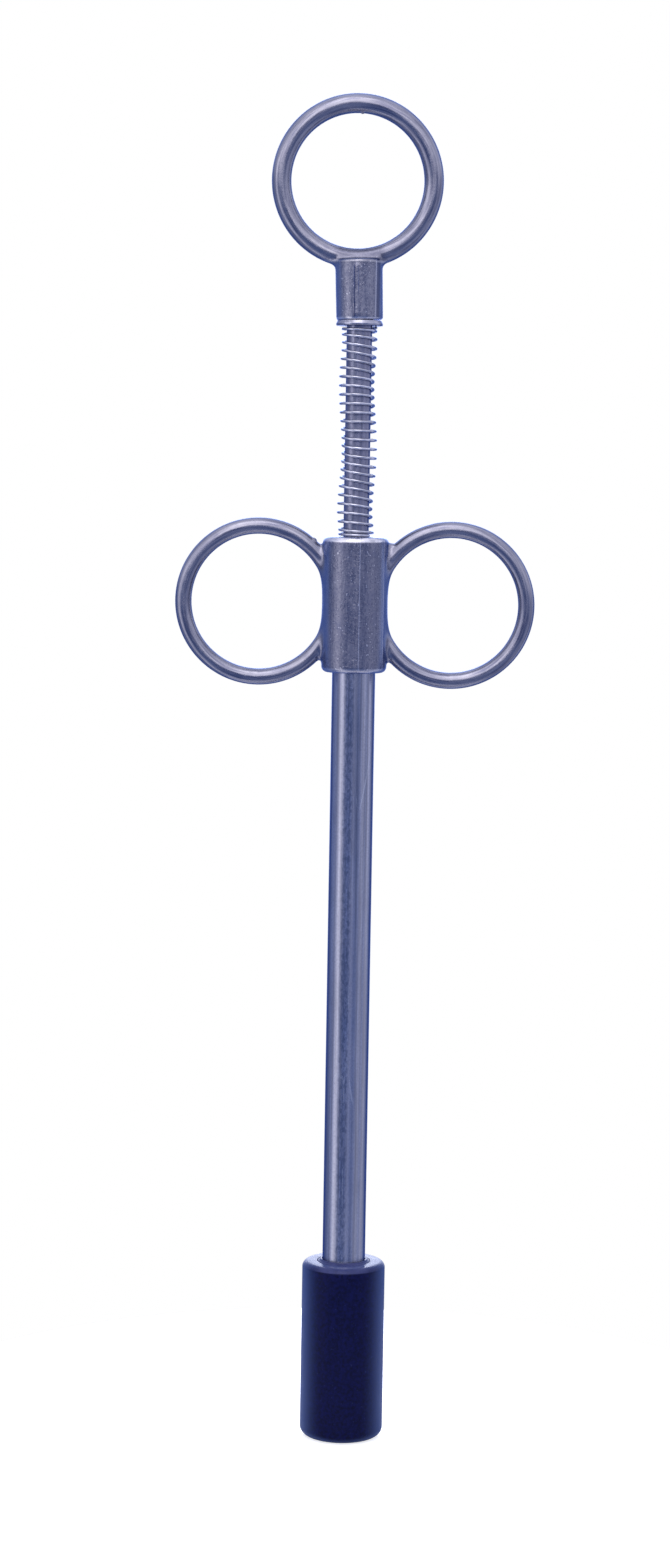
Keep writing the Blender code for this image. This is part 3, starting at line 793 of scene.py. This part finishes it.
def set_screw(name, z, surface, body):
    """A socket set screw along Y, with a hexagonal recess and broken edges."""
    start = surface - SCREW_DEPTH - SCREW_LENGTH
    sides = [(math.cos(a), math.sin(a)) for a in np.radians((0, 60, 120))]

    def distance(p):
        q = np.stack([p[:, 0], p[:, 2] - z, p[:, 1]], axis=1)
        shape = post(q, SCREW_RADIUS, start, start + SCREW_LENGTH, round_low=0.3, round_high=0.3)
        flats = np.max([np.abs(q[:, 0] * across + q[:, 1] * up) for across, up in sides], axis=0)
        socket = np.maximum(flats - SCREW_KEY / 2, start + SCREW_SOCKET_FLOOR - q[:, 2])
        return cut(shape, socket, blend=0.08)

    low = (-1.7, start - 0.2, z - 1.7)
    high = (1.7, start + SCREW_LENGTH + 0.2, z + 1.7)
    points, faces = shell(distance, low, high, cell=0.1)
    new_piece(name + "_fine", points, faces, body, OXIDE, [name])


# ---------------------------------------------------------------- turned pieces
def head():
    """The rubber head: a rounded outside, and inside from the top the tube's socket, the
    ferrule's groove, the dose's chamber and the retaining ring's groove."""
    foot = 2.0
    socket, chamber = 5.0, 6.5
    ferrule_groove, ring_groove = 6.9, 7.9
    lip_seat = 5.95
    wall = np.linspace(foot, HEAD_TOP - HEAD_SHOULDER, 14)[1:-1]
    profile = [
        (chamber, 0.0),
        *arc((HEAD_RADIUS - foot, foot), foot, 270, 360, 12),
        *[(HEAD_RADIUS, z) for z in wall],
        *arc((HEAD_RADIUS - HEAD_SHOULDER, HEAD_TOP - HEAD_SHOULDER), HEAD_SHOULDER, 0, 90, 10),
        (lip_seat, HEAD_TOP),
        (lip_seat, HEAD_TOP - 0.8),
        (socket, HEAD_TOP - 0.8),
        (socket, 38.1),
        (ferrule_groove, 38.1),
        (ferrule_groove, 33.9),
        (socket, 33.9),
        (socket, 32.5),
        (chamber - 0.4, 32.5),
        *arc((chamber - 0.4, 32.1), 0.4, 90, 0, 4),
        (chamber, 5.6),
        (ring_groove, 5.6),
        (ring_groove, 3.4),
        (chamber, 3.4),
    ]
    turned("head_moulding", profile, "barrel", RUBBER, ["applicator_head"], sides=160)


def lip():
    """The seal round the tube, hollowed on its outer side where it rises from the head."""
    low, high = LIP_LOW[2], LIP_HIGH[2]
    inner = TUBE_RADIUS + 0.1
    profile = [
        (inner, low),
        (LIP_RADIUS, low),
        (LIP_RADIUS, HEAD_TOP - 0.12),
        *arc((LIP_RADIUS, high + 0.35), 0.8, 255, 205, 6),
        (inner + 0.08, high),
        (inner, high),
    ]
    turned("neck_lip", profile, "barrel", RUBBER, ["neck_seal"])


def tube():
    low, high = TUBE_LOW[2], TUBE_HIGH[2]
    edge = 0.3
    profile = [
        (TUBE_BORE, low),
        (TUBE_RADIUS - edge, low),
        *[(TUBE_RADIUS, z) for z in np.linspace(low + edge, high - edge, 24)],
        (TUBE_RADIUS - edge, high),
        (TUBE_BORE, high),
    ]
    turned("tube_drawn", profile, "barrel", STEEL, ["barrel_tube"], sides=160)


def rod():
    """The rod, drilled at its lower end for the pusher's screw."""
    low, high = ROD_LOW[2], ROD_HIGH[2]
    edge = 0.4
    drill = 1.5
    profile = [
        (0, low + 8.9),
        (drill, low + 8),
        (drill, low),
        (ROD_RADIUS - edge, low),
        *[(ROD_RADIUS, z) for z in np.linspace(low + edge, high - edge, 24)],
        (ROD_RADIUS - edge, high),
        (0, high),
    ]
    turned("rod_drawn", profile, "plunger", ROD_STEEL, ["plunger_rod"], closed=False)


def washer():
    """The spring's seat: a flat disc below, and a narrower step that tapers up to the boss."""
    low, high = WASHER_LOW[2], BOSS_BOTTOM - 0.06
    r = WASHER_HIGH[0]
    bore = ROD_RADIUS + ROD_GAP
    profile = [
        (bore, low),
        *arc((r - 0.25, low + 0.25), 0.25, 270, 360, 5),
        *arc((r - 0.3, low + 0.42), 0.3, 0, 16, 3),
        *arc((r - 0.45, high - 0.2), 0.2, 20, 90, 4),
        (bore, high),
    ]
    turned("spring_seat_turned", profile, "spring_seat", WASHER_STEEL, ["spring_seat_washer"])


def retaining_ring():
    low, high = span("retaining_ring")
    section = (high[2] - low[2]) / 2
    profile = arc((high[0] - section, (high[2] + low[2]) / 2), section, 0, 360, 24)[:-1]
    turned("retaining_ring_round", profile, "barrel", SEAL, ["retaining_ring"])


def pusher():
    """The pusher, with a recess below for its screw and a hole for it above."""
    low, high = PUSHER_LOW[2], PUSHER_HIGH[2]
    r = PUSHER_HIGH[0]
    recess, screw_hole = 3.3, 1.6
    profile = [
        (recess, low),
        *arc((r - 0.5, low + 0.5), 0.5, 270, 360, 6),
        *arc((r - 0.5, high - 0.5), 0.5, 0, 90, 6),
        (screw_hole, high),
        (screw_hole, low + 2.1),
        (recess, low + 2.1),
    ]
    turned("pusher_disc", profile, "plunger", PLASTIC, ["pusher"])


# ---------------------------------------------------------------- spring
SPRING_TURNS = 25.9
SPRING_RADIUS = 3.6
SPRING_WIRE = 0.31
SPRING_START = math.radians(-40)
# The pitch of the closed end turns, as a share of the open turns' pitch
CLOSED_PITCH = 0.37
# The open coils' centres go round the rod's axis: how far out, the rise of one round, and a height
# at which they are at +X
SNAKE = 0.40
SNAKE_WAVE = 28.3
SNAKE_CREST = 219.2


def spring():
    """A left-hand spring whose closed ends sit square and whose open coils snake round the rod."""
    bottom = GRIP_TOP + SPRING_WIRE + 0.02
    top = WASHER_LOW[2] - SPRING_WIRE - 0.02
    steps = int(SPRING_TURNS * (56))
    turn = np.linspace(0, SPRING_TURNS, steps)
    from_end = np.minimum(turn, SPRING_TURNS - turn)
    pitch = CLOSED_PITCH + (1 - CLOSED_PITCH) * np.clip((from_end - 0.7) / 0.8, 0, 1)
    rise = np.concatenate([[0], np.cumsum((pitch[1:] + pitch[:-1]) / 2)])
    height = bottom + (top - bottom) * rise / rise[-1]
    angle = SPRING_START - TAU * turn
    loose = np.clip((from_end - 0.8) / 3.0, 0, 1)
    snake = SNAKE * loose * loose * (3 - 2 * loose)
    phase = TAU * (SNAKE_CREST - height) / SNAKE_WAVE
    lean_x = snake * TAU / SNAKE_WAVE * np.sin(phase)
    lean_y = -snake * TAU / SNAKE_WAVE * np.cos(phase)
    x = SPRING_RADIUS * np.cos(angle)
    y = SPRING_RADIUS * np.sin(angle)
    z = height - x * lean_x - y * lean_y
    centres = np.stack([x + snake * np.cos(phase), y + snake * np.sin(phase), z], axis=1)
    points, faces = swept(centres, SPRING_WIRE, sides=14)
    piece = new_piece("spring_coil", points, faces, "barrel", WIRE, ["return_spring"])
    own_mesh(piece)


# ---------------------------------------------------------------- carried-over CAD nodes
CARRIED_OVER = {
    "head_ferrule": BRASS,
    "lower_guide_bush": PLASTIC,
    "upper_guide_bush": PLASTIC,
    "rod_seal": SEAL,
    "stop_bumper": SEAL,
    "pusher_lock_washer": WASHER_STEEL,
    "pusher_screw": OXIDE,
}


def dress_cad_nodes():
    for node, finish in CARRIED_OVER.items():
        piece = frame["nodes"][node]
        piece.data.materials.clear()
        piece.data.materials.append(finish)


# ---------------------------------------------------------------- studio, in metres
FLOOR_RADIUS = 0.11
FLOOR_BELOW = 0.0001
FLOOR_COLOUR = (0.66, 0.67, 0.72)
OBJECT_CENTRE = (0, 0, 0.15)


def floor():
    """A pale round table, clear from below. It glows a little for the camera only, so that it
    looks white round the head."""
    points = [(FLOOR_RADIUS * x, FLOOR_RADIUS * y, 0) for x, y in arc((0, 0), 1, 0, 360, 96)[:-1]]
    mesh = bpy.data.meshes.new("floor")
    mesh.from_pydata(points, [], [list(range(len(points)))])
    f = Finish("floor")
    seen = f.node("ShaderNodeLightPath").outputs["Is Camera Ray"]
    f.set(Base_Color=FLOOR_COLOUR, Roughness=0.12, Specular_IOR_Level=0.1)
    f.set(Emission_Color=(1, 1, 1, 1), Emission_Strength=f.math("MULTIPLY", seen, 0.70))
    choose = f.node("ShaderNodeMixShader")
    f.put(choose.inputs["Fac"], f.node("ShaderNodeNewGeometry").outputs["Backfacing"])
    f.put(choose.inputs[1], f.shader.outputs[0])
    f.put(choose.inputs[2], f.node("ShaderNodeBsdfTransparent").outputs[0])
    f.put(f.tree.nodes["Material Output"].inputs["Surface"], choose.outputs[0])
    mesh.materials.append(f.material)
    piece = bpy.data.objects.new("floor", mesh)
    bpy.context.scene.collection.objects.link(piece)
    piece.location.z = -FLOOR_BELOW


# Soft light on the studio's walls, in degrees. Azimuth 0 is the camera's side and 90 is +X:
# azimuth, its width, lowest and highest elevation, soft edge, strength
GLOWS = [
    (-61, 10.5, -90, 30, 18, 0.92),
    (-90, 22, -90, 45, 20, 0.12),
    (-12, 20, 8.5, 60, 4.5, 1.15),
    (0, 58, 9.5, 58, 6, 0.60),
    (10, 8, -90, 30, 18, 0.17),
    (48, 10, -90, 30, 18, 0.12),
    (64, 9, -90, 30, 18, 0.34),
    (102, 12, -90, 40, 18, 0.50),
    (180, 13, -8, 36, 8, 1.15),
]
# The same, for the bluer light behind the object
BACK_GLOWS = [
    (180, 13, -8, 36, 8, 0.75),
    (180, 9, 8, 17, 5, 2.5),
]
GLOW_COLOUR = (1.0, 0.97, 0.97)
BACK_GLOW_COLOUR = (0.78, 0.87, 1.14)
AMBIENT_BELOW = (0.13, 0.195, 0.45)
AMBIENT_ABOVE = (0.18, 0.24, 0.48)


def world():
    """The studio that the object reflects. The camera itself sees a white background."""
    made = bpy.data.worlds.new("studio")
    bpy.context.scene.world = made
    made.use_nodes = True
    made.node_tree.nodes.clear()
    w = Nodes(made.node_tree)
    x, y, z = w.split(w.node("ShaderNodeTexCoord").outputs["Generated"])
    level = w.math("MAXIMUM", w.length(x, y), 0.001)
    elevation = w.math("MULTIPLY", w.math("ARCSINE", z), 180 / math.pi)

    def with_glows(total, glows):
        for azimuth, width, low, high, soft, strength in glows:
            a = math.radians(azimuth)
            toward = w.math("ADD", w.product(x, math.sin(a)), w.product(y, -math.cos(a)))
            toward = w.math("DIVIDE", toward, level)
            sharp = 1 / math.radians(width) ** 2
            fan = w.math("EXPONENT", w.product(w.math("SUBTRACT", toward, 1), sharp))
            from_below = w.remap(elevation, low - soft, low + soft, 0, strength, smooth=True)
            from_above = w.remap(elevation, high - soft, high + soft, 1, 0, smooth=True)
            total = w.math("MULTIPLY_ADD", fan, w.product(from_below, from_above), total)
        return total

    def background(colour, strength=1.0):
        shade = w.node("ShaderNodeBackground")
        w.put(shade.inputs["Color"], colour)
        w.put(shade.inputs["Strength"], strength)
        return shade.outputs[0]

    def together(first, second):
        both = w.node("ShaderNodeAddShader")
        w.put(both.inputs[0], first)
        w.put(both.inputs[1], second)
        return both.outputs[0]

    high_up = w.remap(elevation, 36, 70, 0, 0.66, smooth=True)
    overhead = w.math("ADD", high_up, w.remap(elevation, 0, 18, 0, 0.14))
    ambient = w.blend(w.remap(elevation, -30, 60, smooth=True), AMBIENT_BELOW, AMBIENT_ABOVE)
    studio = together(background(ambient), background(GLOW_COLOUR, with_glows(overhead, GLOWS)))
    studio = together(studio, background(BACK_GLOW_COLOUR, with_glows(0.0, BACK_GLOWS)))
    choose = w.node("ShaderNodeMixShader")
    w.put(choose.inputs["Fac"], w.node("ShaderNodeLightPath").outputs["Is Camera Ray"])
    w.put(choose.inputs[1], studio)
    w.put(choose.inputs[2], background((1.0, 1.0, 1.0)))
    w.put(w.node("ShaderNodeOutputWorld").inputs["Surface"], choose.outputs[0])


def top_light():
    """A soft box above, a little to the left of the camera."""
    azimuth, elevation, distance = math.radians(-8), math.radians(60), 1.2
    level = math.cos(elevation)
    toward = Vector((math.sin(azimuth) * level, -math.cos(azimuth) * level, math.sin(elevation)))
    light = bpy.data.lights.new("top_box", "AREA")
    light.shape = "RECTANGLE"
    light.size, light.size_y = 0.7, 0.5
    light.energy = 0.8
    light.color = (1.0, 0.99, 1.0)
    lamp = bpy.data.objects.new("top_box", light)
    bpy.context.scene.collection.objects.link(lamp)
    lamp.location = Vector(OBJECT_CENTRE) + distance * toward
    lamp.rotation_euler = (-toward).to_track_quat("-Z", "Y").to_euler()
    lamp.visible_camera = False


# Camera: where it stands from the tool's axis, its pitch and roll in degrees, its lens in millimetres
CAMERA_SIDE = -0.00372
CAMERA_BACK = 0.7011
CAMERA_HEIGHT = 0.2115
CAMERA_PITCH = 5.15
CAMERA_ROLL = 0.95
CAMERA_LENS = 74.42


def camera():
    data = bpy.data.cameras.new("camera")
    data.lens = CAMERA_LENS
    data.sensor_width = 36.0
    data.clip_start = 0.05
    data.clip_end = 60
    cam = bpy.data.objects.new("camera", data)
    bpy.context.scene.collection.objects.link(cam)
    pitch = Matrix.Rotation(math.radians(90 - CAMERA_PITCH), 4, "X")
    roll = Matrix.Rotation(math.radians(CAMERA_ROLL), 4, "Z")
    stand = Matrix.Translation((CAMERA_SIDE, -CAMERA_BACK, CAMERA_HEIGHT))
    cam.matrix_world = stand @ pitch @ roll
    bpy.context.scene.camera = cam


castings()
for screw, screw_z in GRIP_SCREWS.items():
    set_screw(screw, screw_z, GRIP_RADIUS, "barrel")
set_screw("ring_set_screw", BOSS_SCREW, BOSS_RADIUS, "plunger")
head()
lip()
tube()
rod()
washer()
retaining_ring()
pusher()
spring()
dress_cad_nodes()
floor()
world()
top_light()
camera()

bpy.context.scene.view_settings.view_transform = "Standard"
bpy.context.scene.view_settings.look = "None"
